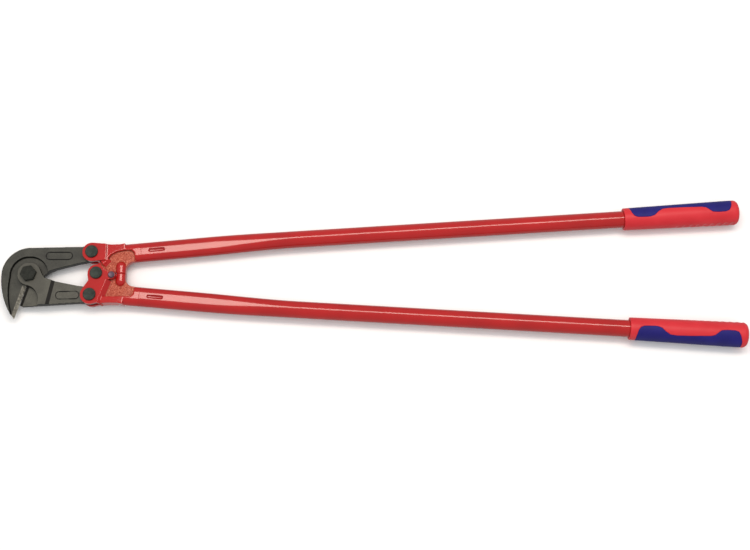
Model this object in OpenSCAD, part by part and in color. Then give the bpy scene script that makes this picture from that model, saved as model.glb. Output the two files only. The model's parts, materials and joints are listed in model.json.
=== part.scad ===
// Two-handed cutter for concrete mesh and rebar, with two lapped jaws, two forged yokes
// and two steel tube handles.
// The tool lies flat. +X runs from the jaws to the grips and +Z is up. The jaw pivot's axis
// stands on the origin, and Z = 0 is the surface that the pivot nut and both grips rest on.

/* [Head linkage] */
// Distance from the jaw pivot to the handle pivot, mm
handle_pivot_x = 86; // [85:0.5:87]
// Distance from the jaw pivot to the two link bolts along X, mm
link_x = 79.7; // [79:0.1:80.5]
// Distance of each link bolt from the centre line, mm
link_y = 28.1; // [27.6:0.1:28.6]
// Offset of the eccentric journal from the head of its bolt, mm
eccentric_offset = 0.8; // [0.4:0.1:0.9]

/* [Jaws] */
// Thickness of each jaw's tail, mm
tail_t = 9; // [8:0.5:9]
// Thickness of each lapped eye, from the middle plane outwards, mm
eye_t = 7; // [6.5:0.5:7.5]
// Radius of the jaw eyes, mm
eye_r = 15; // [14:0.5:15.5]
// How far the hook reaches in front of the jaw pivot, mm
hook_reach = 36; // [35:0.2:37]
// Angle of the line that both cutting edges lie on when shut, degrees
cut_angle = -106.5; // [-108:0.5:-105]
// Width of the ground bevel on each cutting edge, mm
bevel_w = 4.5; // [3:0.5:5]

/* [Yokes] */
// Overall thickness at the link bolts, mm
cheek_t = 21; // [20:0.5:21.5]
// Radius of the bosses round the link bolts, mm
boss_r = 12.2; // [11.8:0.1:12.6]
// Radius of the ears round the handle pivot, mm
ear_r = 11.2; // [10.8:0.1:11.4]
// Width of the stop ribs that meet when the tool is shut, mm
rib_w = 12.6; // [11:0.2:12.8]
// Overall length of each stop rib from the centre line, mm
rib_len = 16.4; // [15:0.2:17]

/* [Handles] */
// Overall length of the tool, mm
overall_l = 950; // [900:10:1000]
// Outer diameter of the tube, mm
tube_d = 21.8; // [21:0.2:22.4]
// Wall of the tube, mm
tube_wall = 2; // [1.6:0.1:2.2]
// Width of the flattened end of the tube, mm
oval_w = 25; // [24:0.2:26]
// Thickness of the flattened end of the tube, mm
oval_t = 16.7; // [16:0.1:17.4]
// Angle of the handle's first stretch to the centre line, degrees
front_slope = 5.27; // [5:0.01:5.5]
// Angle of the handle's long stretch to the centre line, degrees
rear_slope = 3.49; // [3.3:0.01:3.7]

/* [Grips] */
// Length of the grip, mm
grip_l = 149; // [140:1:160]
// Diameter at the grip's front rim, mm
grip_front_d = 28.6; // [27.6:0.2:29]
// Largest diameter, near the grip's rear end, mm
grip_rear_d = 32; // [31:0.5:33]
// Thickness of the soft inlay, mm
inlay_t = 1.8; // [1.2:0.1:2]

/* [Fasteners] */
// Radius of the jaw pivot bolt, mm
pivot_bolt_r = 6; // [5:0.5:6.5]
// Size across the flats of the pivot bolt's head and nut, mm
pivot_hex = 18; // [17:1:19]
// Radius of the link bolts, mm
link_bolt_r = 5; // [4.5:0.5:5]
// Radius of the flat round bolt heads, mm
head_r = 8; // [7.5:0.1:8.4]

/* [Hidden] */
$fn = 96;

mid_z = grip_rear_d / 2;              // height of the middle plane above the rest surface
fit = 0.05;                           // radial clearance of each turning or bolted fit
play = 0.2;                           // clearance between a tail or tongue and its cheeks
shut_gap = 0.15;                      // what each half stays back from the shut line
lap_gap = 0.05;                       // what each lapped eye stays back from the middle plane
cheek_z = cheek_t / 2;
web_z = tail_t / 2;                   // half thickness of tails, tongue and recessed webs
slot_z = web_z + play;                // half width of each fork's slot
rim_z = oval_t / 2;
link_end_r = 10.6;                    // round end of each jaw's tail
open_pivot_play = 2.5;                // travel that the upper jaw's tail needs round its bolt
tail_hole_r = link_bolt_r + open_pivot_play;
pocket_r = 23.4;                      // recess that the other jaw's neck swings in
hook_arc_r = 97.5;                    // outer curve of the hook
rim_arc_r = 110;                      // inner edge of the hook's raised rim
edge_z = -web_z / 2;                  // height of the cutting edges
through = 20;                         // reach of a cut that goes through the whole thickness
beyond = 80;                          // reach of a cut that clears the whole jaw
thread_back = 0.6;                    // how far a bolt's end stays back inside its nut

// Eccentric journal in the upper yoke's tongue, and the bolt's own axis in the lower yoke
pivot_at = [handle_pivot_x, 0];
bolt_at = [handle_pivot_x + eccentric_offset, 0];
front_journal_r = 7;
middle_journal_r = 6;
rear_journal_r = 5;
stud_r = 4;
lock_at = [handle_pivot_x + 20.4, -2.6];
lock_r = 2.5;
lock_boss_r = 5.6;                    // boss of the lower yoke round the lock screw

// Handle path: a straight stretch, an easy bend, and a long straight stretch
joint_at = [handle_pivot_x + 56.5, 29.4];
tang_l = 42;
flat_l = 80;                          // length of the flattened end
round_s = 200;                        // where the tube has become round
bend_s = [110, 215];
crimp_s = 20;                         // middle of each crimp behind the yoke's joint
crimp_l = 24;
crimp_w = 7;
crimp_deep = 1.6;
end_gap = 12;                         // grip's solid end behind the tube
end_round = 6;                        // rounding of the grip's rear end
end_face_r = grip_rear_d / 2 - end_round;

cheek_end_x = handle_pivot_x + 12;    // where the upper yoke's thicker cheek stops
gap_x = handle_pivot_x + 37.3;        // bottom of the gap between the handles

function along(a) = [cos(a), sin(a)];
function turn_l() = bend_s[1] - bend_s[0];
function bend_r() = turn_l() / ((front_slope - rear_slope) * PI / 180);
function slope_at(s) =
    front_slope - (front_slope - rear_slope) * min(1, max(0, (s - bend_s[0]) / turn_l()));
function arc_to(s) =
    bend_r() * [sin(front_slope) - sin(slope_at(s)), cos(slope_at(s)) - cos(front_slope)];
function path_at(s) =
    s <= bend_s[0] ? joint_at + s * along(front_slope)
    : joint_at + bend_s[0] * along(front_slope) + arc_to(s)
      + max(0, s - bend_s[1]) * along(rear_slope);
function ease(t) = t * t * (3 - 2 * t);
function morph(s) = ease(min(1, max(0, (s - flat_l) / (round_s - flat_l))));
long_l = (overall_l - hook_reach - path_at(bend_s[1])[0] - end_round
          - end_face_r * sin(rear_slope)) / cos(rear_slope) + end_round;
handle_l = bend_s[1] + long_l;        // from the yoke's joint to the grip's rear end
grip_s = handle_l - grip_l;           // where the grip begins on the path

// ---- small helpers ----

module raise() {
    translate([0, 0, mid_z]) children();
}

module slab(z0, z1) {
    translate([0, 0, z0]) linear_extrude(z1 - z0) children();
}

module spot(at, r) {
    translate(at) circle(r);
}

module post(at, r, z0, z1) {
    translate([at[0], at[1], z0]) cylinder(r = r, h = z1 - z0);
}

module both_faces() {
    children();
    mirror([0, 0, 1]) children();
}

// A prism along a plan line: the profile's first axis points to the left of the line
module prism_on_line(at, angle, length) {
    translate([at[0], at[1], 0])
        rotate([0, 0, angle])
            rotate([90, 0, 90])
                linear_extrude(length) children();
}

module hexagon(across_flats, at, z0, z1, turn = 0) {
    translate([at[0], at[1], z0])
        rotate([0, 0, turn])
            cylinder(r = across_flats / 2 / cos(30), h = z1 - z0, $fn = 6);
}

// ---- jaws ----

// Inner edge of each tail, from its round end to the eye; the lower jaw's is mirrored
upper_inner = [[62, 14.3], [31.5, 6.4], [26.4, 4.8], [20.5, 1], [14.2, -4.6]];
lower_inner = [[62, 15.2], [29.5, 8.5], [24.3, 6.4], [20.5, 5.2], [17.5, 1.5], [14.2, -4.6]];
upper_back = [[0, 35.2], [66, 36.4]];
lower_back = [[-7, -41.8], [66, -37.4]];
hook_mid_y = -0.7;                            // height at which the hook reaches furthest
tip_y = -58;                                  // the hook's point stays above this height
rim_lap_y = 1;                                // where the rim's straight inner part starts
rim_back = 26.2;                              // inner edge of the hook's rim, in front of the pivot
rim_mid_y = -17.5;
pocket_shift = 1.8;                           // the rim's bend stands in front of the pocket
step_at = [25.75, 24.8];                      // middle of the step from eye to tail
step_lean = 10.9;
step_run = 4.6;
step_l = 44;
thick_x = 40;                                 // both thickened eyes end in front of this line
skim = 0.02;                                  // keeps two cut surfaces off one plane
bevel_from = 16;                              // the ground bevels start outside the eyes
bevel_l = 60;
blade_back_r = 19.5;                          // hollow behind the blade's ground front
blade_back_at = [-6.3, -34];
upper_plate_at = [36.8, 24.2];                // blank plates framed by a groove on the tails
upper_plate = [35, 10.8];
lower_plate_at = [50, -27.8];
lower_plate = [31, 11];
groove_t = 0.6;
groove_w = 1.2;

module tail_plan(back, inner, side) {
    polygon([
        [0, 0],
        back[0],
        back[1],
        [link_x, side * (link_y + link_end_r)],
        [link_x, side * (link_y - link_end_r)],
        for (p = inner) [p[0], side * p[1]]
    ]);
    spot([link_x, side * link_y], link_end_r);
    circle(eye_r);
}

// Everything on the hook's side of the shut line
module hook_side() {
    rotate(cut_angle)
        translate([0, -beyond - shut_gap]) square([beyond, beyond]);
}

module hook_plan() {
    intersection() {
        translate([0, hook_mid_y]) circle(hook_reach);
        translate([-hook_reach, hook_mid_y]) square([hook_reach + skim, hook_reach]);
    }
    intersection() {
        translate([hook_arc_r - hook_reach, hook_mid_y]) circle(hook_arc_r);
        hook_side();
        translate([-beyond, tip_y]) square([beyond, hook_mid_y - tip_y]);
    }
}

module upper_jaw_plan() {
    tail_plan(upper_back, upper_inner, 1);
    difference() {
        hook_plan();
        rotate(cut_angle) translate([0, -shut_gap]) square([beyond, beyond]);
    }
}

// Inner part of the hook, below its raised rim
module hook_recess_plan() {
    circle(pocket_r);
    translate([-pocket_shift, 0]) circle(pocket_r);
    intersection() {
        translate([rim_arc_r - rim_back, rim_mid_y]) circle(rim_arc_r);
        translate([-beyond / 2, -beyond]) square([beyond, beyond + rim_lap_y]);
    }
}

// Removes the step from an eye's full thickness to the tail, sloped over step_run
module eye_step(side) {
    angle = 90 + side * step_lean;
    at = [step_at[0], side * step_at[1]] - step_l / 2 * along(angle);
    over = 0.4;
    top_z = eye_t + over * (eye_t - web_z);
    foot_z = web_z - skim;
    prism_on_line(at, angle, step_l)
        polygon([[over * step_run, top_z], [-step_run, foot_z], [-beyond, foot_z],
                 [-beyond, top_z]]);
}

// Ground bevels from the cutting edge out through the faces at low_z and high_z
module edge_bevel(side, low_z, high_z) {
    over = 1.4;
    top_z = edge_z + over * (high_z - edge_z);
    foot_z = edge_z + over * (low_z - edge_z);
    prism_on_line(bevel_from * along(cut_angle), cut_angle, bevel_l)
        polygon([[0, edge_z], [over * side * bevel_w, top_z], [-side, top_z], [-side, foot_z],
                 [over * side * bevel_w, foot_z]]);
}

// Groove that frames a blank plate on a tail's face
module plate_groove(at, plate, turn) {
    translate(at) rotate(turn) difference() {
        stadium(plate[0], plate[1]);
        stadium(plate[0] - 2 * groove_w, plate[1] - 2 * groove_w);
    }
}

module upper_jaw() {
    color("#4d4c47") raise() difference() {
        union() {
            slab(-web_z, -lap_gap) upper_jaw_plan();
            slab(-lap_gap, web_z) difference() {
                upper_jaw_plan();
                hook_recess_plan();
            }
            mirror([0, 0, 1]) difference() {
                slab(web_z, eye_t) intersection() {
                    upper_jaw_plan();
                    translate([-beyond, -beyond]) square([beyond + thick_x, 2 * beyond]);
                }
                eye_step(1);
            }
        }
        edge_bevel(-1, -eye_t, 0);
        post([0, 0], pivot_bolt_r + fit, -eye_t - 1, eye_t);
        post([link_x, link_y], tail_hole_r, -eye_t, eye_t);
        slab(web_z - groove_t, eye_t) plate_groove(upper_plate_at, upper_plate, 0);
    }
}

module lower_blade_plan() {
    difference() {
        polygon([[0, 0], 41 * along(cut_angle), lower_back[0], [30, -39.6], [34, -9.6],
                 [20, -4.9]]);
        rotate(cut_angle) translate([0, shut_gap - beyond]) square([beyond, beyond]);
    }
}

module lower_front_plan() {
    difference() {
        union() {
            tail_plan(lower_back, lower_inner, -1);
            lower_blade_plan();
        }
        translate(blade_back_at) circle(blade_back_r);
        rotate(cut_angle) translate([eye_r, -beyond]) square([beyond, beyond]);
    }
    circle(eye_r);
}

// Room behind the lower jaw for the upper jaw's eye and neck
module lower_pocket_plan() {
    circle(eye_r + 0.5);
    intersection() {
        circle(pocket_r);
        polygon([[0, 0], beyond * along(-62), [beyond, -beyond], [beyond, beyond], [0, beyond]]);
    }
}

module lower_jaw() {
    color("#55534e") raise() difference() {
        union() {
            slab(lap_gap, web_z) lower_front_plan();
            slab(-web_z, lap_gap) difference() {
                union() {
                    tail_plan(lower_back, lower_inner, -1);
                    lower_blade_plan();
                }
                lower_pocket_plan();
            }
            difference() {
                slab(web_z, eye_t) intersection() {
                    lower_front_plan();
                    translate([-beyond, -beyond]) square([beyond + thick_x, 2 * beyond]);
                }
                eye_step(-1);
            }
        }
        edge_bevel(1, -web_z, 0);
        post([0, 0], pivot_bolt_r + fit, -eye_t, eye_t + 1);
        post([link_x, -link_y], link_bolt_r + fit, -eye_t, eye_t);
        slab(web_z - groove_t, eye_t + 1) plate_groove(lower_plate_at, lower_plate, 1);
    }
}

// ---- yokes ----

// Recessed panels of the two yokes, with the lower one drawn on the upper side
upper_panel = [[98.6, 18], [104.4, 25.3], [110.7, 28.8], [120.3, 31], [130.4, 31.1], [133.8, 27.5],
               [135.2, 18]];
lower_panel = [[93, 24], [95, 30.2], [131.5, 30.2], [134.6, 27], [136, 18]];

module stadium(w, t) {
    for (side = [-1, 1]) spot([side * (w - t) / 2, 0], t / 2);
    square([w - t, t], center = true);
}

// Solid stadium bar along the handle's first stretch, from s0 to s1
module arm_bar(w, t, s0, s1) {
    translate([joint_at[0], joint_at[1], 0])
        rotate([0, 0, front_slope])
            translate([s0, 0, 0])
                rotate([90, 0, 90])
                    linear_extrude(s1 - s0) stadium(w, t);
}

function bar_point(s, n) = joint_at + s * along(front_slope) + n * along(90 + front_slope);
bar_l = 20;                           // stretch of the arm that already has the tube's section

rim_x = cheek_end_x - 5;              // front of the rim, clear of the tail's swing

// Thick rim of the arm on the upper side, down to the centre line
module rim_plan() {
    polygon([
        [cheek_end_x + 0.5, 13],
        [rim_x, 17.4],
        [rim_x, 39],
        [cheek_end_x + 6, 38.4],
        [cheek_end_x + 17, 38.6],
        bar_point(-bar_l, oval_w / 2),
        bar_point(-bar_l, -oval_w / 2),
        [gap_x, 10],
        [gap_x, shut_gap],
        [cheek_end_x + 0.5, shut_gap]
    ]);
}

// Thin web between the rim, the stop and the gap between the handles
module web_plan() {
    difference() {
        polygon([
            [cheek_end_x - 2, 19],
            [cheek_end_x + 8, 32],
            bar_point(-bar_l, 4),
            bar_point(-6, 4),
            bar_point(-6, 1 - oval_w / 2),
            [gap_x + 8, shut_gap],
            [cheek_end_x, shut_gap]
        ]);
        handle_gap_plan();
    }
}

// U-shaped end of the gap between the handles
module handle_gap_plan() {
    corner = 11;
    half = 16.4;
    spot([gap_x + corner, 0], corner);
    translate([gap_x + corner, 0]) square([20, 2 * half], center = false);
    translate([gap_x, 0]) square([20, half - corner]);
    spot([gap_x + corner, half - corner], corner);
}

module panel_plan(outline) {
    polygon([for (p = outline) p, [150, 17], [150, 0], [cheek_end_x, 0]]);
}

// Half-round stop on both faces of the web, from the centre line outwards
module stop_rib() {
    r = rib_w / 2 + 0.2;
    lift = 2.7;                       // height of the half round's axis over the middle plane
    both_faces() intersection() {
        translate([gap_x - rib_w / 2, 0, lift]) {
            translate([0, rib_len - r, 0]) rotate([90, 0, 0]) cylinder(r = r, h = rib_len);
            translate([0, rib_len - r, 0]) sphere(r);
        }
        translate([gap_x - rib_w, shut_gap, 0]) cube([rib_w, rib_len + 2, through]);
    }
}

// Rim, recessed web, stop and tang that both yokes share, on the upper side
module arm(panel) {
    difference() {
        union() {
            slab(-rim_z, rim_z) rim_plan();
            arm_bar(oval_w, oval_t, -bar_l - 0.01, 0);
        }
        both_faces() slab(web_z, through) panel_plan(panel);
    }
    slab(-web_z, web_z) web_plan();
    arm_bar(oval_w - 2 * tube_wall - 0.2, oval_t - 2 * tube_wall - 0.2, -1, tang_l);
    stop_rib();
}

// Hollows in the tang that the tube's wall is crimped into
module tang_dimples(side) {
    both_faces() translate([joint_at[0], side * joint_at[1], 0])
        rotate([0, 0, side * front_slope])
            slab(oval_t / 2 - tube_wall - crimp_deep, oval_t / 2)
                translate([crimp_s, 0]) stadium(crimp_l, crimp_w);
}

module upper_cheek_plan() {
    spot([link_x, link_y], boss_r);
    polygon([[link_x, link_y + boss_r], [cheek_end_x - 4, 39.2], [cheek_end_x, 38.8],
             [cheek_end_x, 17.4], [link_x, link_y - boss_r]]);
}

module upper_fork_room() {
    spot([link_x, link_y], link_end_r + open_pivot_play + 0.4);
    polygon([[40, 0], [40, 60], [link_x + 13.5, 60], [link_x + 13.5, link_y],
             [link_x, link_y - 13.5], [link_x - 6, 0]]);
}

shoulder_line = [[101.2, 19.4], [94.3, 11.7]];  // top edge of the upper yoke's slope to its web

// Thick part of the upper yoke beside the lower yoke's ear, and its slope down to the web
module shoulder() {
    run = 4.8;
    span = shoulder_line[0] - shoulder_line[1];
    slab(web_z - 1, rim_z)
        polygon([[cheek_end_x - 6, 18], [cheek_end_x, 21], shoulder_line[0], shoulder_line[1],
                 [cheek_end_x - 6, 15]]);
    prism_on_line(shoulder_line[1], atan2(span[1], span[0]), norm(span))
        polygon([[0.1, web_z - 1], [0.1, rim_z], [-run, web_z], [-run, web_z - 1]]);
}

module tongue_plan() {
    tongue_r = ear_r - 0.2;
    spot(pivot_at, tongue_r);
    polygon([pivot_at, pivot_at + tongue_r * along(110), [cheek_end_x - 6, 17.4],
             [cheek_end_x + 2, 19], [cheek_end_x + 7.5, shut_gap], pivot_at + [0, shut_gap]]);
}

module upper_yoke() {
    color("#b3151b") raise() difference() {
        union() {
            arm(upper_panel);
            both_faces() slab(slot_z, cheek_z) upper_cheek_plan();
            slab(-slot_z, slot_z) difference() {
                upper_cheek_plan();
                upper_fork_room();
            }
            slab(-web_z, web_z) tongue_plan();
            both_faces() shoulder();
        }
        tang_dimples(1);
        post([link_x, link_y], link_bolt_r + fit, -through, through);
        post(pivot_at, middle_journal_r + fit, -through, through);
        post(lock_at, lock_boss_r + 0.5, -through, through);
    }
}

cheek_line_foot = [[100.2, -8.5], [89.2, -38.5]];  // diagonal end of the lower yoke's cheeks

module lower_cheek_plan() {
    spot(bolt_at, ear_r);
    spot([link_x, -link_y], boss_r);
    spot(lock_at, 5);
    polygon([bolt_at, bolt_at + [-ear_r, -2], [77, -9.6], [71.6, -17.8], [68.6, -22.8],
             [link_x, -link_y], [link_x, -link_y - boss_r], cheek_line_foot[1],
             cheek_line_foot[0], lock_at + [0, -5], lock_at, lock_at + [-3.4, 3.6],
             bolt_at + ear_r * along(38)]);
}

module lower_fork_room() {
    spot(pivot_at, ear_r + 0.3);
    spot([link_x, -link_y], link_end_r + 0.5);
    polygon([[40, 20], pivot_at + [0, ear_r + 0.3], pivot_at + (ear_r + 0.3) * along(-30),
             [link_x + link_end_r + 0.5, -link_y], [link_x + link_end_r - 2, -60],
             [40, -60]]);
}

// Slope that runs from the lower yoke's cheek down to its web
module cheek_slope() {
    run = 5.6;
    span = cheek_line_foot[0] - cheek_line_foot[1];
    angle = atan2(span[1], span[0]);
    prism_on_line(cheek_line_foot[1], angle, norm(span) + 0.6)
        polygon([[0.1, web_z - 1], [0.1, cheek_z], [-run, web_z], [-run, web_z - 1]]);
}

module lower_yoke() {
    color("#b3151b") raise() difference() {
        union() {
            mirror([0, 1, 0]) arm(lower_panel);
            both_faces() slab(slot_z, cheek_z) lower_cheek_plan();
            both_faces() cheek_slope();
            slab(-slot_z, slot_z) difference() {
                union() {
                    lower_cheek_plan();
                    polygon([cheek_line_foot[0] + [2, 0], cheek_line_foot[0] + [0, 8.3],
                             cheek_line_foot[0] + [-8, 8.3], cheek_line_foot[1]]);
                }
                lower_fork_room();
                spot(bolt_at, ear_r + 0.6);
                translate([0, -shut_gap]) square([lock_at[0], 60]);
            }
            slab(-slot_z, slot_z) spot(lock_at, lock_boss_r);
        }
        tang_dimples(-1);
        post([link_x, -link_y], link_bolt_r + fit, -through, through);
        post(bolt_at, front_journal_r + fit, 0, through);
        post(bolt_at, rear_journal_r + fit, -through, 0);
        post(lock_at, lock_r + fit, -through, through);
    }
}

// ---- fasteners ----

jaw_bolt_head_t = 5.5;
washer_t = 1.5;
link_head_t = 3.5;
link_nut_t = 4.4;
disc_t = 1.6;
thin_nut_t = 3.4;
jaw_bolt_turn = 10.6;                 // how the jaw bolt's hexagon stands
washer_rim = 2.5;                     // how far the washer stands out from the nut's flats
nut_chamfer = 1.2;                    // drop of the cone that rounds a nut's corners
link_hex = 15;                        // sizes across the flats
stud_hex = 13;
lock_hex = 8;
lock_head_r = 4.3;
lock_head_t = 2.4;
lock_nut_t = 3.2;
stud_floor = 0.2;                     // how far the eccentric's stud stays above the rest surface

module nut(across_flats, bore_r, at, z0, z1, turn) {
    difference() {
        intersection() {
            hexagon(across_flats, at, z0, z1, turn);
            translate([at[0], at[1], z0 - across_flats / 2 + nut_chamfer])
                cylinder(r1 = 0, r2 = across_flats, h = across_flats);
        }
        post(at, bore_r, z0 - 1, z1 + 1);
    }
}

module round_head(at, r, z0, height) {
    chamfer = 0.8;
    post(at, r, z0, z0 + height - chamfer);
    translate([at[0], at[1], z0 + height - chamfer])
        cylinder(r1 = r, r2 = r - chamfer, h = chamfer);
}

module jaw_pivot_bolt() {
    color("#3f423d") raise() {
        intersection() {
            hexagon(pivot_hex, [0, 0], eye_t, eye_t + jaw_bolt_head_t, jaw_bolt_turn);
            translate([0, 0, eye_t])
                cylinder(r1 = pivot_hex / 2 + jaw_bolt_head_t / tan(30), r2 = pivot_hex / 2,
                         h = jaw_bolt_head_t);
        }
        post([0, 0], pivot_bolt_r, thread_back - mid_z, eye_t);
    }
}

module jaw_pivot_washer() {
    color("#6b6f6b") raise() slab(-eye_t - washer_t, -eye_t - lap_gap) difference() {
        circle(pivot_hex / 2 + washer_rim);
        circle(pivot_bolt_r + fit);
    }
}

module jaw_pivot_nut() {
    color("#3f423d") raise()
        nut(pivot_hex, pivot_bolt_r + fit, [0, 0], -mid_z, -eye_t - washer_t, 4);
}

module link_bolt(side) {
    at = [link_x, side * link_y];
    round_head(at, head_r, cheek_z, link_head_t);
    post(at, link_bolt_r, thread_back / 2 - cheek_z - link_nut_t, cheek_z);
}

module link_nut(side) {
    nut(link_hex, link_bolt_r + fit, [link_x, side * link_y], -cheek_z - link_nut_t, -cheek_z,
        20 * side);
}

module upper_jaw_bolt() {
    color("#49544a") raise() link_bolt(1);
}

module upper_jaw_nut() {
    color("#49544a") raise() link_nut(1);
}

module lower_jaw_bolt() {
    color("#49544a") raise() link_bolt(-1);
}

module lower_jaw_nut() {
    color("#49544a") raise() link_nut(-1);
}

module eccentric_bolt() {
    color("#49544a") raise() {
        round_head(bolt_at, head_r - 0.2, cheek_z, link_head_t);
        post(bolt_at, front_journal_r, slot_z, cheek_z);
        post(pivot_at, middle_journal_r, -slot_z, slot_z);
        post(bolt_at, rear_journal_r, -cheek_z, -slot_z);
        post(bolt_at, stud_r, stud_floor - mid_z, -cheek_z);
    }
}

teeth = 24;
disc_r = 10.4;
disc_aim = atan2(lock_at[1] - bolt_at[1], lock_at[0] - bolt_at[0]);

// The disc stands so that one notch faces the lock screw
module disc_plan() {
    difference() {
        circle(disc_r);
        for (i = [0 : teeth - 1])
            rotate(disc_aim + i * 360 / teeth)
                polygon([[disc_r - 1.5, 0], [disc_r + 1, 1.6], [disc_r + 1, -1.6]]);
    }
}

module adjusting_disc() {
    color("#7d8079") raise() slab(-cheek_z - disc_t, -cheek_z) difference() {
        translate(bolt_at) disc_plan();
        spot(bolt_at, stud_r + fit);
    }
}

module eccentric_nut() {
    color("#49544a") raise()
        nut(stud_hex, stud_r + fit, bolt_at, -cheek_z - disc_t - thin_nut_t, -cheek_z - disc_t, 12);
}

module lock_screw() {
    color("#8d8aa3") raise() {
        round_head(lock_at, lock_head_r, cheek_z, lock_head_t);
        post(lock_at, lock_r, 0.2 - cheek_z - disc_t - lock_nut_t, cheek_z);
    }
}

// Plate whose nose sits in a notch of the disc
module lock_plate() {
    nose_r = disc_r - 1.2;
    color("#7d8079") raise() slab(-cheek_z - disc_t, -cheek_z) difference() {
        union() {
            spot(lock_at, 6.2);
            translate(bolt_at) rotate(disc_aim)
                polygon([[nose_r, 0], [disc_r + 0.5, -0.95], [16, -4], [16, 4],
                         [disc_r + 0.5, 0.95]]);
        }
        spot(lock_at, lock_r + fit);
    }
}

module lock_nut() {
    color("#8d8aa3") raise()
        nut(lock_hex, lock_r + fit, lock_at, -cheek_z - disc_t - lock_nut_t, -cheek_z - disc_t, 0);
}

// ---- tubes ----

tube_sides = 32;

function stadium_point(w, t, a) =
    [(w - t) / 2 * sign(cos(a)) + t / 2 * cos(a), t / 2 * sin(a)];
function mix(a, b, k) = a + (b - a) * k;
function tube_ring(s, inset) = [
    for (i = [0 : tube_sides - 1])
        let (k = morph(s),
             w = mix(oval_w, tube_d, k) - 2 * inset,
             t = mix(oval_t, tube_d, k) - 2 * inset,
             p = stadium_point(w, t, (i + 0.5) * 360 / tube_sides),
             c = path_at(s),
             a = slope_at(s))
        [c[0] - p[0] * sin(a), c[1] + p[0] * cos(a), p[1]]
];
tube_stations = concat(
    [0],
    [for (i = [0 : 8]) mix(flat_l, bend_s[1], i / 8)],
    [handle_l - end_gap]
);

// Hollow tube: an outer and an inner skin of rings, joined by a flat ring at each end
module handle_tube() {
    n = tube_sides;
    m = len(tube_stations);
    outer = [for (s = tube_stations) each tube_ring(s, 0)];
    inner = [for (s = tube_stations) each tube_ring(s, tube_wall)];
    skin = [
        for (j = [0 : m - 2], i = [0 : n - 1])
            let (a = j * n + i, b = j * n + (i + 1) % n)
            [a, b, b + n, a + n]
    ];
    lining = [for (f = skin) [f[3] + m * n, f[2] + m * n, f[1] + m * n, f[0] + m * n]];
    front = [for (i = [0 : n - 1]) [(i + 1) % n, i, i + m * n, (i + 1) % n + m * n]];
    rear = [
        for (i = [0 : n - 1])
            let (a = (m - 1) * n + i, b = (m - 1) * n + (i + 1) % n)
            [a, b, b + m * n, a + m * n]
    ];
    polyhedron(points = concat(outer, inner), faces = concat(skin, lining, front, rear));
}

module upper_tube() {
    color("#b3151b") raise() handle_tube();
}

module lower_tube() {
    color("#b3151b") raise() mirror([0, 1, 0]) handle_tube();
}

// ---- grips ----

rear_s = grip_l - 16;                 // where the grip is widest
finger_pitch = 8.9;
fingers = 9;
finger_r = 5;                         // radius of the hollows for the fingers
finger_deep = 1.6;
first_finger = 69;                    // from the grip's front
inlay_front = 2.8;                    // where the inlay's outline starts behind the grip's front
// Edge of the soft inlay in plan; it dips twice towards the inner side
inlay_edge = [[4, 20], [5.2, 11], [7.2, 3.5], [10, 0], [14, -1.8], [20, -2.2], [30, -2.3],
              [36, -0.6], [40.7, 3.8], [47, 7.4], [55, 8.2], [75, 7.7], [98, 6.6], [103, 5.2],
              [107, 1.8], [111, -1.2], [118, -2], [127.5, -2], [132.3, -0.5], [135, 4.3],
              [137.5, 12], [138, 20]];

module grip_place() {
    at = path_at(grip_s);
    translate([at[0], at[1], 0]) rotate([0, 0, rear_slope]) children();
}

module grip_profile(inset) {
    difference() {
        union() {
            polygon([[0, 0], [grip_front_d / 2 - inset, 0],
                     [grip_rear_d / 2 - inset, rear_s],
                     [grip_rear_d / 2 - inset, grip_l - end_round],
                     [0, grip_l - end_round]]);
            translate([end_face_r, grip_l - end_round]) circle(end_round - inset);
            translate([0, grip_l - end_round]) square([end_face_r, end_round - inset]);
        }
        translate([-through, -1]) square([through, grip_l + 2]);
    }
}

module grip_body(inset) {
    rotate([0, 90, 0]) rotate_extrude() grip_profile(inset);
}

module inlay_room() {
    intersection() {
        difference() {
            grip_body(0);
            grip_body(inlay_t);
        }
        slab(-through, through) translate([inlay_front, 0]) polygon(inlay_edge);
    }
}

module grip_sleeve() {
    grip_place() difference() {
        grip_body(0);
        translate([-1, 0, 0]) rotate([0, 90, 0])
            cylinder(r = tube_d / 2 + fit, h = grip_l - end_gap + 1 + fit);
        inlay_room();
        for (i = [0 : fingers - 1])
            post([first_finger + i * finger_pitch, finger_deep - finger_r - grip_rear_d / 2],
                 finger_r, -through, through);
    }
}

module upper_grip() {
    color("#cf1f27") raise() grip_sleeve();
}

module lower_grip() {
    color("#cf1f27") raise() mirror([0, 1, 0]) grip_sleeve();
}

module upper_grip_inlay() {
    color("#1f2f73") raise() grip_place() inlay_room();
}

module lower_grip_inlay() {
    color("#1f2f73") raise() mirror([0, 1, 0]) grip_place() inlay_room();
}

upper_jaw();
lower_jaw();
jaw_pivot_bolt();
jaw_pivot_washer();
jaw_pivot_nut();
upper_yoke();
lower_yoke();
upper_jaw_bolt();
upper_jaw_nut();
lower_jaw_bolt();
lower_jaw_nut();
eccentric_bolt();
adjusting_disc();
eccentric_nut();
lock_screw();
lock_plate();
lock_nut();
upper_tube();
lower_tube();
upper_grip();
lower_grip();
upper_grip_inlay();
lower_grip_inlay();
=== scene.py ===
import json
from math import cos, radians, sin
import bpy
from mathutils import Matrix, Vector


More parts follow.
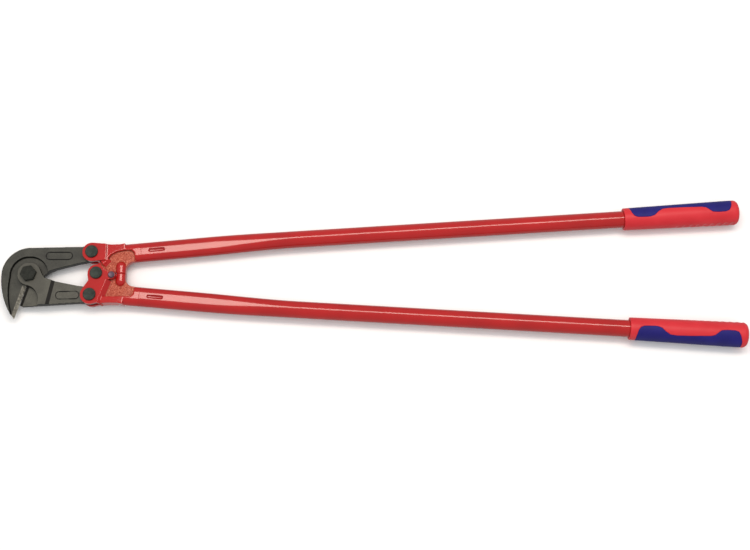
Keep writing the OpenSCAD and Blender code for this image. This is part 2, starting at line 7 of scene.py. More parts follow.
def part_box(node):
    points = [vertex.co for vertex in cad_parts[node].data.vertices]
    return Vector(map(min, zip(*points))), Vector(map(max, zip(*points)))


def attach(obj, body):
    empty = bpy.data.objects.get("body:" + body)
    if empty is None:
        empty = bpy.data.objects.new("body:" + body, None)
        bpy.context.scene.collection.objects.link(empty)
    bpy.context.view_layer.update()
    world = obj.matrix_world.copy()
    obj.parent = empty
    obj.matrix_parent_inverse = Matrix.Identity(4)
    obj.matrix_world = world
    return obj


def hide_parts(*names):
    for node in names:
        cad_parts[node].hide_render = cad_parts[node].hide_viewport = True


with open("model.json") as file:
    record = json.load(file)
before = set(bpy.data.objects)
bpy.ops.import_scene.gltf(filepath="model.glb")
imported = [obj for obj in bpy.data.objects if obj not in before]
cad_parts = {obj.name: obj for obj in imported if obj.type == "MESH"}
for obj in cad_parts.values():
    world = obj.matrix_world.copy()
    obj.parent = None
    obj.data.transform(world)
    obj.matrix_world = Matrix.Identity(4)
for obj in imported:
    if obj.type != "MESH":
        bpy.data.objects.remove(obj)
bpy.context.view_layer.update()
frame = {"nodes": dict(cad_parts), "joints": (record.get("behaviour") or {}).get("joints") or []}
mm = 0.001

# the tool lies flat: the jaws are at the left, the grips at the right, and +Z comes up out of the floor
jawPivot = Vector(next(j["pos_m"] for j in frame["joints"] if j["name"] == "jaw_pivot"))
middleZ = jawPivot.z
print("frame loaded:", len(frame["nodes"]), "nodes, middle plane at", round(middleZ / mm, 2), "mm")


def deselectAll():
    if bpy.context.object and bpy.context.object.mode != "OBJECT":
        bpy.ops.object.mode_set(mode="OBJECT")
    bpy.ops.object.select_all(action="DESELECT")


def makeActive(piece):
    deselectAll()
    piece.select_set(True)
    bpy.context.view_layer.objects.active = piece


def editMesh(piece, select="SELECT"):
    makeActive(piece)
    bpy.ops.object.mode_set(mode="EDIT")
    bpy.ops.mesh.select_mode(type="FACE")
    bpy.ops.mesh.select_all(action=select)


def backToObject():
    bpy.ops.object.mode_set(mode="OBJECT")


def pickFaces(piece, wanted):
    # selects the faces that wanted(centre, normal) accepts, and leaves edit mode open
    editMesh(piece, "DESELECT")
    backToObject()
    for polygon in piece.data.polygons:
        polygon.select = wanted(polygon.center, polygon.normal)
    bpy.ops.object.mode_set(mode="EDIT")


looseTriangles = {
    "merge": 0.002 * mm,           # corners nearer than this are one point
    "sameFace": radians(0.5),      # triangles that lie within this angle are one face
}


def copyOfNode(nodeName, pieceName, dissolve=True):
    # a working copy of a CAD part, with its loose triangles joined into one skin
    mesh = frame["nodes"][nodeName].data.copy()
    piece = bpy.data.objects.new(pieceName, mesh)
    mesh.name = pieceName
    mesh.materials.clear()
    bpy.context.scene.collection.objects.link(piece)
    editMesh(piece)
    bpy.ops.mesh.remove_doubles(threshold=looseTriangles["merge"])
    if dissolve:
        bpy.ops.mesh.dissolve_limited(angle_limit=looseTriangles["sameFace"])
    backToObject()
    return piece


def applyModifier(piece, kind, **settings):
    makeActive(piece)
    modifier = piece.modifiers.new(kind.title(), kind)
    for name, value in settings.items():
        setattr(modifier, name, value)
    bpy.ops.object.modifier_apply(modifier=modifier.name)


def shadeSmooth(piece, angle):
    makeActive(piece)
    bpy.ops.object.shade_smooth_by_angle(angle=angle)


def finishPiece(piece, material, body, slotName, *nodes):
    # every piece ends here: its finish, the body that carries it and the CAD parts it stands for
    piece.data.materials.clear()
    piece.data.materials.append(material)
    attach(piece, body)
    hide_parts(*nodes)
    print("made", piece.name, "with", len(piece.data.polygons), "faces")


def linearColour(hexCode):
    # sRGB hex code to the linear values that a socket takes
    parts = [int(hexCode[i:i + 2], 16) / 255 for i in (1, 3, 5)]
    return tuple(p / 12.92 if p <= 0.04045 else ((p + 0.055) / 1.055) ** 2.4 for p in parts) + (1,)


def grey(value):
    return (value, value, value, 1)


def greyStops(*stops):
    return [(position, grey(value)) for position, value in stops]


def toneStops(dark, light):
    # a noise keeps to the middle of its range, so its two tones stand there
    return [(0.3, linearColour(dark)), (0.7, linearColour(light))]


def perMetre(sizeMm):
    # texture scale for a pattern whose features are about sizeMm across
    return 1 / (sizeMm * mm)


mixColours = {"data_type": "RGBA"}
multiplyColours = {"data_type": "RGBA", "blend_type": "MULTIPLY", 0: 1.0}


def addNode(material, kind, settings=None, links=None):
    # settings hold options of the node, values of its inputs, or the stops of a colour ramp
    node = material.node_tree.nodes.new(kind)
    for name, value in (settings or {}).items():
        if name == "stops":
            for i, (position, colour) in enumerate(value):
                stop = node.color_ramp.elements[i] if i < 2 else node.color_ramp.elements.new(position)
                stop.position = position
                stop.color = colour
        elif isinstance(name, str) and hasattr(node, name):
            setattr(node, name, value)
        else:
            node.inputs[name].default_value = value
    for socket, source in (links or {}).items():
        material.node_tree.links.new(source, node.inputs[socket])
    return node


def newMaterial(name):
    material = bpy.data.materials.new(name)
    material.use_nodes = True
    material.node_tree.nodes.clear()
    place = addNode(material, "ShaderNodeTexCoord").outputs["Object"]
    return material, place


def closeMaterial(material, settings, links):
    # the shader and the output go in last, when everything that feeds them is there
    shader = addNode(material, "ShaderNodeBsdfPrincipled", settings, links)
    addNode(material, "ShaderNodeOutputMaterial", links={"Surface": shader.outputs["BSDF"]})
    return material


def levelness(material):
    # 1 where the surface looks straight up or down, 0 where it stands upright
    facing = addNode(material, "ShaderNodeTexCoord").outputs["Normal"]
    upwards = addNode(material, "ShaderNodeSeparateXYZ", links={"Vector": facing}).outputs["Z"]
    return addNode(material, "ShaderNodeMath", {"operation": "ABSOLUTE"}, {0: upwards}).outputs[0]


cuttingEdge = {
    "angle": radians(-106.5),      # where the shut edges lie, seen from the jaw pivot
    "bevel": 4.9 * mm,             # width of the ground bevel
    "start": 15.4 * mm,            # the bevels begin outside the eye
}


def groundBevel(material, place):
    # 1 on the two bevels along the cutting edge, 0 elsewhere; the jaw pivot is the origin of the frame
    onEdge = addNode(material, "ShaderNodeMapping",
                     {"vector_type": "TEXTURE", "Rotation": (0, 0, cuttingEdge["angle"])}, {"Vector": place})
    fromEdge = addNode(material, "ShaderNodeSeparateXYZ", links={"Vector": onEdge.outputs["Vector"]}).outputs
    offLine = addNode(material, "ShaderNodeMath", {"operation": "ABSOLUTE"}, {0: fromEdge["Y"]})
    share = addNode(material, "ShaderNodeMath", {"operation": "DIVIDE", 1: cuttingEdge["bevel"]},
                    {0: offLine.outputs[0]})
    near = addNode(material, "ShaderNodeValToRGB", {"stops": greyStops((0.92, 1), (1.0, 0))},
                   {"Fac": share.outputs[0]})
    beyondEye = addNode(material, "ShaderNodeMath", {"operation": "GREATER_THAN", 1: cuttingEdge["start"]},
                        {0: fromEdge["X"]})
    return addNode(material, "ShaderNodeMath", {"operation": "MULTIPLY"},
                   {0: near.outputs["Color"], 1: beyondEye.outputs[0]}).outputs[0]


jawSkin = {
    "grainMm": 1.1,
    "cloudsMm": 14,
    "scratchesMm": 2.5,
    # painted shade: faces that stand on a slope are darkened, down to a tenth of the skin's tone
    "slopeShadeStops": greyStops((0.0, 0.32), (0.5, 0.1), (0.93, 0.1), (0.985, 1)),
    "speckle": greyStops((0.3, 0.78), (0.7, 1.18)),
    "paintedEdgeShading": greyStops((0.455, 0.15), (0.49, 1), (0.51, 1), (0.55, 2.4)),    # painted shade in the hollows, painted highlight on the convex edges
    "roughness": greyStops((0.3, 0.42), (0.7, 0.58)),
    "relief": 0.12 * mm,
}


def forgedJawSteel(name, tones):
    # drop-forged tool steel, phosphated and oiled: satin warm grey on the flats; painted shade makes the
    # slopes almost black and darkens the hollows, a painted highlight lightens the convex edges, and the
    # ground bevel has a tone given per jaw, painted light on the hook and painted shade on the blade
    material, place = newMaterial(name)
    grain = addNode(material, "ShaderNodeTexNoise", {"Scale": perMetre(jawSkin["grainMm"]), "Detail": 4},
                    {"Vector": place}).outputs["Fac"]
    clouds = addNode(material, "ShaderNodeTexNoise", {"Scale": perMetre(jawSkin["cloudsMm"]), "Detail": 3},
                     {"Vector": place})
    skin = addNode(material, "ShaderNodeValToRGB", {"stops": toneStops(tones["dark"], tones["light"])},
                   {"Fac": clouds.outputs["Fac"]})
    # painted shade on the slopes, read from which way the face looks
    paintedSlopeShade = addNode(material, "ShaderNodeValToRGB", {"stops": jawSkin["slopeShadeStops"]},
                     {"Fac": levelness(material)})
    skinWithSlopeShade = addNode(material, "ShaderNodeMix", multiplyColours,
                     {6: skin.outputs["Color"], 7: paintedSlopeShade.outputs["Color"]})
    scratches = addNode(material, "ShaderNodeTexNoise",
                        {"Scale": perMetre(jawSkin["scratchesMm"]), "Detail": 5, "Roughness": 0.7},
                        {"Vector": place})
    # the bevel's tone is painted light on the hook and painted shade on the blade; the scratches that vary it
    # are real
    bevelLightingStops = [(0.35, linearColour(tones["bevelDark"])), (0.65, linearColour(tones["bevel"]))]
    paintedBevelLighting = addNode(material, "ShaderNodeValToRGB", {"stops": bevelLightingStops}, {"Fac": scratches.outputs["Fac"]})
    bevelled = addNode(material, "ShaderNodeMix", mixColours,
                       {0: groundBevel(material, place), 6: skinWithSlopeShade.outputs[2], 7: paintedBevelLighting.outputs["Color"]})
    speckle = addNode(material, "ShaderNodeValToRGB", {"stops": jawSkin["speckle"]}, {"Fac": grain})
    grained = addNode(material, "ShaderNodeMix", multiplyColours,
                      {6: bevelled.outputs[2], 7: speckle.outputs["Color"]})
    # painted shade in the hollows and painted highlight on the convex edges, read from pointiness
    edges = addNode(material, "ShaderNodeNewGeometry").outputs["Pointiness"]
    paintedEdgeShading = addNode(material, "ShaderNodeValToRGB", {"stops": jawSkin["paintedEdgeShading"]}, {"Fac": edges})
    skinWithEdgeShading = addNode(material, "ShaderNodeMix", multiplyColours,
                   {6: grained.outputs[2], 7: paintedEdgeShading.outputs["Color"]})
    satin = addNode(material, "ShaderNodeValToRGB", {"stops": jawSkin["roughness"]}, {"Fac": grain})
    bump = addNode(material, "ShaderNodeBump", {"Strength": 0.4, "Distance": jawSkin["relief"]},
                   {"Height": grain})
    return closeMaterial(material, {"Metallic": 0.2, "Specular IOR Level": 0.3},
                         {"Base Color": skinWithEdgeShading.outputs[2], "Roughness": satin.outputs["Color"],
                          "Normal": bump.outputs["Normal"]})


boltSkin = {
    "grainMm": 0.9,
    "patchesMm": 5,
    "speckle": greyStops((0.32, 0.6), (0.68, 1.4)),
    "roughness": greyStops((0.3, 0.45), (0.7, 0.6)),
    "relief": 0.15 * mm,
}


def blackenedBolt(name, tones):
    # cold-headed bolt steel, black-oxidised: a dull grey-green face with a coarse grain
    material, place = newMaterial(name)
    grain = addNode(material, "ShaderNodeTexNoise", {"Scale": perMetre(boltSkin["grainMm"]), "Detail": 4},
                    {"Vector": place}).outputs["Fac"]
    patches = addNode(material, "ShaderNodeTexNoise", {"Scale": perMetre(boltSkin["patchesMm"])},
                      {"Vector": place})
    skin = addNode(material, "ShaderNodeValToRGB", {"stops": toneStops(tones["dark"], tones["light"])},
                   {"Fac": patches.outputs["Fac"]})
    speckle = addNode(material, "ShaderNodeValToRGB", {"stops": boltSkin["speckle"]}, {"Fac": grain})
    grained = addNode(material, "ShaderNodeMix", multiplyColours,
                      {6: skin.outputs["Color"], 7: speckle.outputs["Color"]})
    satin = addNode(material, "ShaderNodeValToRGB", {"stops": boltSkin["roughness"]}, {"Fac": grain})
    bump = addNode(material, "ShaderNodeBump", {"Strength": 0.5, "Distance": boltSkin["relief"]},
                   {"Height": grain})
    return closeMaterial(material, {"Metallic": 0.2, "Specular IOR Level": 0.25},
                         {"Base Color": grained.outputs[2], "Roughness": satin.outputs["Color"],
                          "Normal": bump.outputs["Normal"]})


zincSkin = {
    "grainMm": 0.9,
    "dark": "#4a3a45",
    "light": "#6c5a68",
    "roughness": greyStops((0.3, 0.32), (0.7, 0.5)),
    "relief": 0.05 * mm,
}


def zincPlate():
    # bright zinc plating over turned or stamped steel: cool silver with a faint violet cast
    material, place = newMaterial("zincPlatedSteel")
    grain = addNode(material, "ShaderNodeTexNoise", {"Scale": perMetre(zincSkin["grainMm"]), "Detail": 3},
                    {"Vector": place}).outputs["Fac"]
    skin = addNode(material, "ShaderNodeValToRGB",
                   {"stops": toneStops(zincSkin["dark"], zincSkin["light"])}, {"Fac": grain})
    satin = addNode(material, "ShaderNodeValToRGB", {"stops": zincSkin["roughness"]}, {"Fac": grain})
    bump = addNode(material, "ShaderNodeBump", {"Strength": 0.3, "Distance": zincSkin["relief"]},
                   {"Height": grain})
    return closeMaterial(material, {"Metallic": 0.7},
                         {"Base Color": skin.outputs["Color"], "Roughness": satin.outputs["Color"],
                          "Normal": bump.outputs["Normal"]})


redPaint = {
    "peelMm": 2.6,
    "peelShare": 0.1,              # height of the orange peel, against the sand's
    "cloudsMm": 40,
    "dark": "#9c1013",
    "light": "#a71316",
    "paintedEdgeHighlight": "#e4695a",             # painted highlight on the convex edges
    # painted shade in the creases
    "paintedEdgeShading": greyStops((0.44, 0.25), (0.49, 1)),
    "relief": 0.25 * mm,
    "shader": {"Roughness": 0.45, "Specular IOR Level": 0.12, "Coat Weight": 1.0, "Coat Roughness": 0.06,
               "Coat IOR": 1.5, "Coat Tint": linearColour("#ffe9dc")},
}
castPanels = {
    "depth": 4.9 * mm,             # the webs are 9 mm thick, so their skin is 4.5 mm from the middle plane
    "fromX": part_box("lower_yoke")[0].x + 24 * mm,
    "toX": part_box("upper_tube")[0].x - 4 * mm,
    "level": 0.6,                  # only surface that looks up or down more than this
    "sandMm": 1.3,                 # three times as coarse as real casting sand, so that it shows
    # the pale salmon end is a painted sheen, the soft reflection that the rough skin would scatter; the
    # speckle between the tones is the sand
    "sandAndSheen": [(0.34, linearColour("#74261b")), (0.5, linearColour("#a04534")),
             (0.66, linearColour("#cf8168"))],
    "gloss": greyStops((0.0, 1), (1.0, 0.1)),
}


def sunkenPanels(material, place):
    # 1 on the webs of the two yokes, 0 everywhere else
    parts = addNode(material, "ShaderNodeSeparateXYZ", links={"Vector": place}).outputs
    fromMiddle = addNode(material, "ShaderNodeMath", {"operation": "SUBTRACT", 1: middleZ}, {0: parts["Z"]})
    height = addNode(material, "ShaderNodeMath", {"operation": "ABSOLUTE"}, {0: fromMiddle.outputs[0]})
    low = addNode(material, "ShaderNodeMath", {"operation": "LESS_THAN", 1: castPanels["depth"]},
                  {0: height.outputs[0]})
    behindCheeks = addNode(material, "ShaderNodeMath", {"operation": "GREATER_THAN", 1: castPanels["fromX"]},
                           {0: parts["X"]})
    beforeTube = addNode(material, "ShaderNodeMath", {"operation": "LESS_THAN", 1: castPanels["toX"]},
                         {0: parts["X"]})
    across = addNode(material, "ShaderNodeMath", {"operation": "MULTIPLY"},
                     {0: behindCheeks.outputs[0], 1: beforeTube.outputs[0]})
    within = addNode(material, "ShaderNodeMath", {"operation": "MULTIPLY"},
                     {0: low.outputs[0], 1: across.outputs[0]})
    level = addNode(material, "ShaderNodeMath", {"operation": "GREATER_THAN", 1: castPanels["level"]},
                    {0: levelness(material)})
    return addNode(material, "ShaderNodeMath", {"operation": "MULTIPLY"},
                   {0: within.outputs[0], 1: level.outputs[0]}).outputs[0]


def redCoat(name, edgeHighlightShare, sandyPanels):
    # glossy red powder coat with orange peel, with painted shade in the creases and a painted highlight on
    # the edges; on the cast yokes the sunken webs were left as cast, so the coat follows a sandy skin there,
    # speckled by the sand and lightened to salmon by a painted sheen
    material, place = newMaterial(name)
    peel = addNode(material, "ShaderNodeTexNoise", {"Scale": perMetre(redPaint["peelMm"])},
                   {"Vector": place})
    clouds = addNode(material, "ShaderNodeTexNoise", {"Scale": perMetre(redPaint["cloudsMm"])},
                     {"Vector": place})
    paint = addNode(material, "ShaderNodeValToRGB",
                    {"stops": toneStops(redPaint["dark"], redPaint["light"])}, {"Fac": clouds.outputs["Fac"]})
    softPeel = addNode(material, "ShaderNodeMath", {"operation": "MULTIPLY", 1: redPaint["peelShare"]},
                       {0: peel.outputs["Fac"]})
    skin = paint.outputs["Color"]
    relief = softPeel.outputs[0]
    links = {}
    if sandyPanels:
        panel = sunkenPanels(material, place)
        sandAndSheen = addNode(material, "ShaderNodeTexNoise",
                       {"Scale": perMetre(castPanels["sandMm"]), "Detail": 4, "Roughness": 0.7},
                       {"Vector": place}).outputs["Fac"]
        # sand speckle with a painted sheen that lightens the webs to salmon
        sandGrainWithPaintedSheen = addNode(material, "ShaderNodeValToRGB", {"stops": castPanels["sandAndSheen"]}, {"Fac": sandAndSheen})
        skin = addNode(material, "ShaderNodeMix", mixColours,
                       {0: panel, 6: paint.outputs["Color"], 7: sandGrainWithPaintedSheen.outputs["Color"]}).outputs[2]
        gloss = addNode(material, "ShaderNodeValToRGB", {"stops": castPanels["gloss"]}, {"Fac": panel})
        grit = addNode(material, "ShaderNodeMath", {"operation": "MULTIPLY"}, {0: sandAndSheen, 1: panel})
        relief = addNode(material, "ShaderNodeMath", {"operation": "ADD"},
                         {0: softPeel.outputs[0], 1: grit.outputs[0]}).outputs[0]
        links["Coat Weight"] = gloss.outputs["Color"]
    edges = addNode(material, "ShaderNodeNewGeometry").outputs["Pointiness"]
    # painted shade: the coat is darkened in the creases, read from pointiness
    paintedEdgeShading = addNode(material, "ShaderNodeValToRGB", {"stops": redPaint["paintedEdgeShading"]}, {"Fac": edges})
    shaded = addNode(material, "ShaderNodeMix", multiplyColours, {6: skin, 7: paintedEdgeShading.outputs["Color"]})
    # painted highlight: convex edges are mixed towards a pale salmon
    paintedEdgeHighlight = addNode(material, "ShaderNodeValToRGB", {"stops": greyStops((0.53, 0), (0.6, edgeHighlightShare))},
                   {"Fac": edges})
    edged = addNode(material, "ShaderNodeMix", {**mixColours, 7: linearColour(redPaint["paintedEdgeHighlight"])},
                    {0: paintedEdgeHighlight.outputs["Color"], 6: shaded.outputs[2]})
    bump = addNode(material, "ShaderNodeBump", {"Strength": 0.5, "Distance": redPaint["relief"]},
                   {"Height": relief})
    links["Base Color"] = edged.outputs[2]
    links["Normal"] = bump.outputs["Normal"]
    return closeMaterial(material, redPaint["shader"], links)


gripSkin = {
    "grainMm": 0.8,
    "cloudsMm": 25,
    "dark": "#bc242c",
    "light": "#c62b33",
    # painted shade in the hollows and a painted highlight on the edges
    "paintedEdgeShading": greyStops((0.45, 0.45), (0.49, 1), (0.53, 1), (0.6, 1.2)),
    "roughness": greyStops((0.3, 0.36), (0.7, 0.48)),
    "relief": 0.08 * mm,
}


def mouldedGrip():
    # injection-moulded polypropylene grip: bright satin red with a fine spark-eroded grain
    material, place = newMaterial("mouldedRedPolypropylene")
    grain = addNode(material, "ShaderNodeTexNoise", {"Scale": perMetre(gripSkin["grainMm"]), "Detail": 3},
                    {"Vector": place}).outputs["Fac"]
    clouds = addNode(material, "ShaderNodeTexNoise", {"Scale": perMetre(gripSkin["cloudsMm"])},
                     {"Vector": place})
    skin = addNode(material, "ShaderNodeValToRGB",
                   {"stops": toneStops(gripSkin["dark"], gripSkin["light"])}, {"Fac": clouds.outputs["Fac"]})
    edges = addNode(material, "ShaderNodeNewGeometry").outputs["Pointiness"]
    # painted shade in the hollows and painted highlight on the edges, read from pointiness
    paintedEdgeShading = addNode(material, "ShaderNodeValToRGB", {"stops": gripSkin["paintedEdgeShading"]}, {"Fac": edges})
    shaded = addNode(material, "ShaderNodeMix", multiplyColours,
                     {6: skin.outputs["Color"], 7: paintedEdgeShading.outputs["Color"]})
    satin = addNode(material, "ShaderNodeValToRGB", {"stops": gripSkin["roughness"]}, {"Fac": grain})
    bump = addNode(material, "ShaderNodeBump", {"Strength": 0.35, "Distance": gripSkin["relief"]},
                   {"Height": grain})
    return closeMaterial(material, {"Specular IOR Level": 0.35},
                         {"Base Color": shaded.outputs[2], "Roughness": satin.outputs["Color"],
                          "Normal": bump.outputs["Normal"]})


inlaySkin = {
    "pebblesMm": 1.0,
    "cloudsMm": 20,
    "dark": "#16125f",
    "light": "#1b176a",
    "roughness": greyStops((0.1, 0.5), (0.6, 0.62)),
    "relief": 0.1 * mm,
}


def mouldedInlay():
    # thermoplastic rubber moulded into the grip: deep blue and duller, with a pebbled skin
    material, place = newMaterial("blueThermoplasticRubber")
    pebbles = addNode(material, "ShaderNodeTexVoronoi", {"Scale": perMetre(inlaySkin["pebblesMm"])},
                      {"Vector": place}).outputs["Distance"]
    clouds = addNode(material, "ShaderNodeTexNoise", {"Scale": perMetre(inlaySkin["cloudsMm"])},
                     {"Vector": place})
    skin = addNode(material, "ShaderNodeValToRGB",
                   {"stops": toneStops(inlaySkin["dark"], inlaySkin["light"])},
                   {"Fac": clouds.outputs["Fac"]})
    satin = addNode(material, "ShaderNodeValToRGB", {"stops": inlaySkin["roughness"]}, {"Fac": pebbles})
    bump = addNode(material, "ShaderNodeBump", {"Strength": 0.4, "Distance": inlaySkin["relief"]},
                   {"Height": pebbles})
    return closeMaterial(material, {"Specular IOR Level": 0.3},
                         {"Base Color": skin.outputs["Color"], "Roughness": satin.outputs["Color"],
                          "Normal": bump.outputs["Normal"]})


# the same ground bevel is painted light on the hook and painted dark on the blade, for the way each faces the
# light
hookSteel = forgedJawSteel("phosphatedHookSteelPaintedBevelLight", {
    "dark": "#383834", "light": "#474741", "bevelDark": "#48463f", "bevel": "#827f74"})
bladeSteel = forgedJawSteel("phosphatedBladeSteelPaintedBevelShade", {
    "dark": "#4a4943", "light": "#56554d", "bevelDark": "#12110f", "bevel": "#24221e"})
boltSteel = blackenedBolt("blackOxideBoltSteel", {"dark": "#252b27", "light": "#363e38"})
pivotSteel = blackenedBolt("oiledPivotBoltSteel", {"dark": "#1c1e1a", "light": "#272924"})
zinc = zincPlate()
castCoat = redCoat("redPowderCoatOnCasting", edgeHighlightShare=0.6, sandyPanels=True)
tubeCoat = redCoat("redPowderCoatOnTube", edgeHighlightShare=0, sandyPanels=False)
redGrip = mouldedGrip()
blueInlay = mouldedInlay()
print("materials ready")


jawForging = {"skinMm": 0.5, "relax": 3}
yokeForging = {"skinMm": 0.5, "relax": 2}
gripMoulding = {"skinMm": 0.6, "relax": 2}
inlayMoulding = {"skinMm": 0.5, "relax": 2}


def forgedFrom(nodeName, pieceName, forging):
    # a forging or moulding has no sharp corner: the part is rebuilt as one even skin of small faces, and
    # its edges and corners are relaxed
    piece = copyOfNode(nodeName, pieceName)
    applyModifier(piece, "REMESH", mode="VOXEL", voxel_size=forging["skinMm"] * mm, adaptivity=0)
    applyModifier(piece, "SMOOTH", factor=0.5, iterations=forging["relax"])
    makeActive(piece)
    bpy.ops.object.shade_smooth()
    return piece


finishPiece(forgedFrom("upper_jaw", "hook_jaw_forging", jawForging), hookSteel,
            "upper_jaw", "jaw_steel", "upper_jaw")
finishPiece(forgedFrom("lower_jaw", "blade_jaw_forging", jawForging), bladeSteel,
            "lower_jaw", "jaw_steel", "lower_jaw")

for side in ("upper", "lower"):
    finishPiece(forgedFrom(side + "_yoke", side + "_yoke_forging", yokeForging), castCoat,
                side + "_handle", "red_coat", side + "_yoke")


tubing = {
    "slope": radians(5.27),        # the first stretch leans away from the centre line
    "halfWidth": 12.5 * mm,        # of the flattened end
    "faceZ": 8.35 * mm,            # from the middle plane to the flattened end's face
    "crimpAt": 20 * mm,            # crimp centre behind the tube's front edge
    "crimpLength": 22 * mm,
    "crimpRadius": 2.9 * mm,
    "crimpDepth": 1.85 * mm,
    "flatPairs": radians(60),      # triangles that lie within this angle are paired into four-sided faces
    "sawnEnd": 0.9,                # a face that looks along the tool more than this is a sawn end
    "edgeRound": 0.45 * mm,
    "edgeAngle": radians(38),      # edges sharper than this are rounded
    "smoothAngle": radians(30),
    "flatFaceWeight": 90,          # lets the wide faces rule the shading beside the crimps
}


def crimpPunch(start, direction, faceSide):
    # a round-nosed punch, as long as the crimp, that lies along the tube and sinks into its flat face
    punchZ = middleZ + faceSide * (tubing["faceZ"] + tubing["crimpRadius"] - tubing["crimpDepth"])
    centre = start + direction * tubing["crimpAt"]
    centre.z = punchZ
    deselectAll()
    bpy.ops.mesh.primitive_uv_sphere_add(segments=32, ring_count=16, radius=tubing["crimpRadius"],
                                         location=centre)
    punch = bpy.context.object
    bpy.ops.object.transform_apply(location=True, rotation=True, scale=True)
    stretch = tubing["crimpLength"] / 2 - tubing["crimpRadius"]
    for end in (1, -1):
        pickFaces(punch, lambda at, normal: (at - centre).dot(direction) * end > 0)
        bpy.ops.transform.translate(value=direction * end * stretch)
        backToObject()
    return punch


def cutWith(piece, cutters):
    for cutter in cutters:
        applyModifier(piece, "BOOLEAN", operation="DIFFERENCE", solver="EXACT", object=cutter)
        bpy.data.objects.remove(cutter)


def keepEndsSharp(piece):
    # the sawn ends stay square when the skin between them is smoothed
    pickFaces(piece, lambda centre, normal: abs(normal.x) > tubing["sawnEnd"])
    bpy.ops.mesh.region_to_loop()
    bpy.ops.transform.edge_crease(value=1)
    backToObject()


def handleTube(side):
    # the tube's rings of faces are smoothed once, then both flat faces are crimped on to the yoke's tang
    piece = copyOfNode(side + "_tube", side + "_handle_tube", dissolve=False)
    editMesh(piece)
    bpy.ops.mesh.tris_convert_to_quads(face_threshold=tubing["flatPairs"],
                                       shape_threshold=tubing["flatPairs"])
    backToObject()
    keepEndsSharp(piece)
    applyModifier(piece, "SUBSURF", levels=1, render_levels=1, boundary_smooth="PRESERVE_CORNERS")
    up = 1 if side == "upper" else -1
    low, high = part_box(side + "_tube")
    startX = low.x + tubing["halfWidth"] * sin(tubing["slope"])
    innerY = low.y if up > 0 else high.y
    start = Vector((startX, innerY + up * tubing["halfWidth"] * cos(tubing["slope"]), 0))
    direction = Vector((cos(tubing["slope"]), up * sin(tubing["slope"]), 0))
    cutWith(piece, [crimpPunch(start, direction, face) for face in (1, -1)])
    applyModifier(piece, "BEVEL", width=tubing["edgeRound"], segments=2, limit_method="ANGLE",
                  angle_limit=tubing["edgeAngle"])
    shadeSmooth(piece, tubing["smoothAngle"])
    applyModifier(piece, "WEIGHTED_NORMAL", keep_sharp=True, weight=tubing["flatFaceWeight"])
    return piece


for side in ("upper", "lower"):
    finishPiece(handleTube(side), tubeCoat, side + "_handle", "red_coat", side + "_tube")

for side in ("upper", "lower"):
    finishPiece(forgedFrom(side + "_grip", side + "_grip_sleeve", gripMoulding), redGrip,
                side + "_handle", "red_grip", side + "_grip")
    finishPiece(forgedFrom(side + "_grip_inlay", side + "_soft_inlay", inlayMoulding), blueInlay,
                side + "_handle", "blue_grip", side + "_grip_inlay")


machining = {
    "topFacing": 0.95,             # faces that look up more than this
    "topDepth": 0.1 * mm,          # and lie this near the part's top are its head
    "edgeAngle": radians(28),      # edges sharper than this are rounded
    "smoothAngle": radians(35),
}


def fastenerFrom(nodeName, details):
    # sharp machined part: a head with a raised rim round a shallow dish, and a small round on every edge
    piece = copyOfNode(nodeName, nodeName + "_detailed")
    if details.get("dish"):
        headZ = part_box(nodeName)[1].z - machining["topDepth"]
        pickFaces(piece, lambda centre, normal: normal.z > machining["topFacing"] and centre.z > headZ)
        bpy.ops.mesh.inset(thickness=details["rim"] * mm)
        bpy.ops.transform.translate(value=(0, 0, -details["dish"] * mm))
        backToObject()
    applyModifier(piece, "BEVEL", width=details["round"] * mm, segments=3, limit_method="ANGLE",
                  angle_limit=machining["edgeAngle"])
    shadeSmooth(piece, machining["smoothAngle"])
    return piece


# rim width, depth of the dish and round of the edges, in mm
pivotDetails = {"rim": 2.0, "dish": 0.2, "round": 0.4}
headDetails = {"rim": 0.9, "dish": 0.25, "round": 0.3}
screwDetails = {"rim": 0.7, "dish": 0.2, "round": 0.3}
plainDetails = {"round": 0.2}
fasteners = [
    ("jaw_pivot_bolt", "lower_jaw", "bolt_steel", pivotSteel, pivotDetails),
    ("jaw_pivot_washer", "lower_jaw", "zinc_steel", zinc, plainDetails),
    ("jaw_pivot_nut", "lower_jaw", "bolt_steel", boltSteel, plainDetails),
    ("upper_jaw_bolt", "upper_handle", "bolt_steel", boltSteel, headDetails),
    ("upper_jaw_nut", "upper_handle", "bolt_steel", boltSteel, plainDetails),
    ("lower_jaw_bolt", "lower_handle", "bolt_steel", boltSteel, headDetails),
    ("lower_jaw_nut", "lower_handle", "bolt_steel", boltSteel, plainDetails),
    ("eccentric_bolt", "lower_handle", "bolt_steel", boltSteel, headDetails),
    ("adjusting_disc", "lower_handle", "zinc_steel", zinc, plainDetails),
    ("eccentric_nut", "lower_handle", "bolt_steel", boltSteel, plainDetails),
    ("lock_screw", "lower_handle", "zinc_steel", zinc, screwDetails),
    ("lock_plate", "lower_handle", "zinc_steel", zinc, plainDetails),
    ("lock_nut", "lower_handle", "zinc_steel", zinc, plainDetails),
]
for nodeName, body, slotName, material, details in fasteners:
    finishPiece(fastenerFrom(nodeName, details), material, body, slotName, nodeName)


studio = {
    "floorSize": 8.0,
    "floorAt": (0.44, 0, -0.2 * mm),     # just under the tool, so that no two faces share a plane
    "mottleMm": 60,
    "softboxSize": (1.35, 0.36),         # stands over the handles only, so that the flat jaws stay dark
    "softboxAt": (0.49, 0.40, 1.55),
    "softboxPower": 13,
    "softboxTone": "#fff2e6",
    "ceilingSize": (4.0, 4.0),
    "ceilingAt": (0.3, 0, 3.2),
    "ceilingPower": 76,
    "ceilingTone": "#ffffff",
    "roomTone": "#ffffff",
    "roomStrength": 0.5,
}


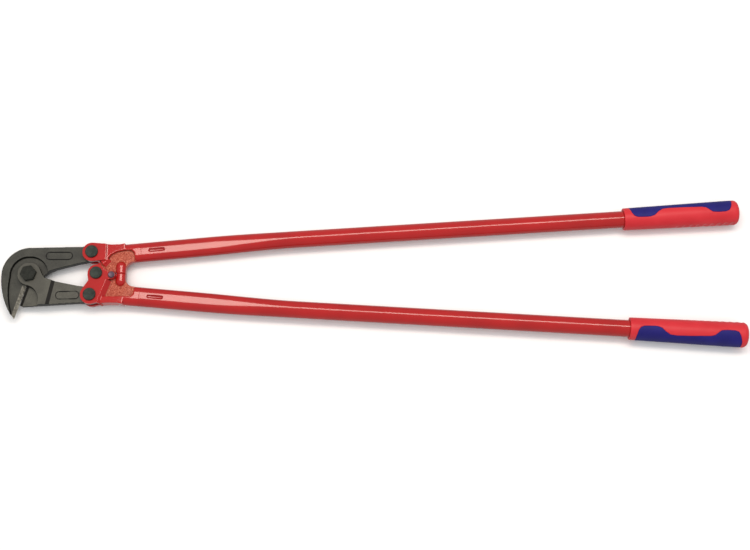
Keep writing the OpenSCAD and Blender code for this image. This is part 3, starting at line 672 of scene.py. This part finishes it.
def paperFloor():
    # matt white studio board with the faintest mottle
    material, place = newMaterial("paleStudioBoard")
    mottle = addNode(material, "ShaderNodeTexNoise", {"Scale": perMetre(studio["mottleMm"])},
                     {"Vector": place})
    board = addNode(material, "ShaderNodeValToRGB", {"stops": greyStops((0.3, 0.86), (0.7, 0.88))},
                    {"Fac": mottle.outputs["Fac"]})
    return closeMaterial(material, {"Roughness": 0.8}, {"Base Color": board.outputs["Color"]})


deselectAll()
bpy.ops.mesh.primitive_plane_add(size=studio["floorSize"], location=studio["floorAt"])
floor = bpy.context.object
floor.name = "studio_floor"
bpy.ops.object.transform_apply(location=True, rotation=True, scale=True)
floor.data.materials.append(paperFloor())


def areaLight(name, place, size, power, tone, mirrored):
    # a light that isn't mirrored brightens the tool without drawing a highlight on it
    deselectAll()
    bpy.ops.object.light_add(type="AREA", location=place)
    light = bpy.context.object
    light.name = name
    light.data.shape = "RECTANGLE"
    light.data.size, light.data.size_y = size
    light.data.energy = power
    light.data.color = linearColour(tone)[:3]
    light.visible_glossy = mirrored


areaLight("handle_softbox", studio["softboxAt"], studio["softboxSize"], studio["softboxPower"],
          studio["softboxTone"], True)
areaLight("white_ceiling", studio["ceilingAt"], studio["ceilingSize"], studio["ceilingPower"],
          studio["ceilingTone"], False)
floor.visible_glossy = False       # keeps the undersides of the glossy tubes dark

world = bpy.data.worlds.new("white_room")
bpy.context.scene.world = world
world.use_nodes = True
background = world.node_tree.nodes["Background"]
background.inputs["Color"].default_value = linearColour(studio["roomTone"])
background.inputs["Strength"].default_value = studio["roomStrength"]

view = {
    "aim": Vector((0.44252, -0.00118, middleZ)),
    "distance": 1.6,
    "elevation": radians(75.38),         # above the floor, on the side of the lower handle
    "roll": radians(-0.16),
    "lens": 59.84,
    "sensor": 36,
}
cameraData = bpy.data.cameras.new("studio_camera")
camera = bpy.data.objects.new("studio_camera", cameraData)
bpy.context.scene.collection.objects.link(camera)
cameraData.lens = view["lens"]
cameraData.sensor_width = view["sensor"]
backwards = Vector((0, -cos(view["elevation"]), sin(view["elevation"])))
camera.location = view["aim"] + view["distance"] * backwards
camera.rotation_mode = "QUATERNION"
camera.rotation_quaternion = (Matrix.Rotation(radians(90) - view["elevation"], 3, "X")
                              @ Matrix.Rotation(view["roll"], 3, "Z")).to_quaternion()
bpy.context.scene.camera = camera
bpy.context.scene.view_settings.view_transform = "Standard"
print("studio ready")
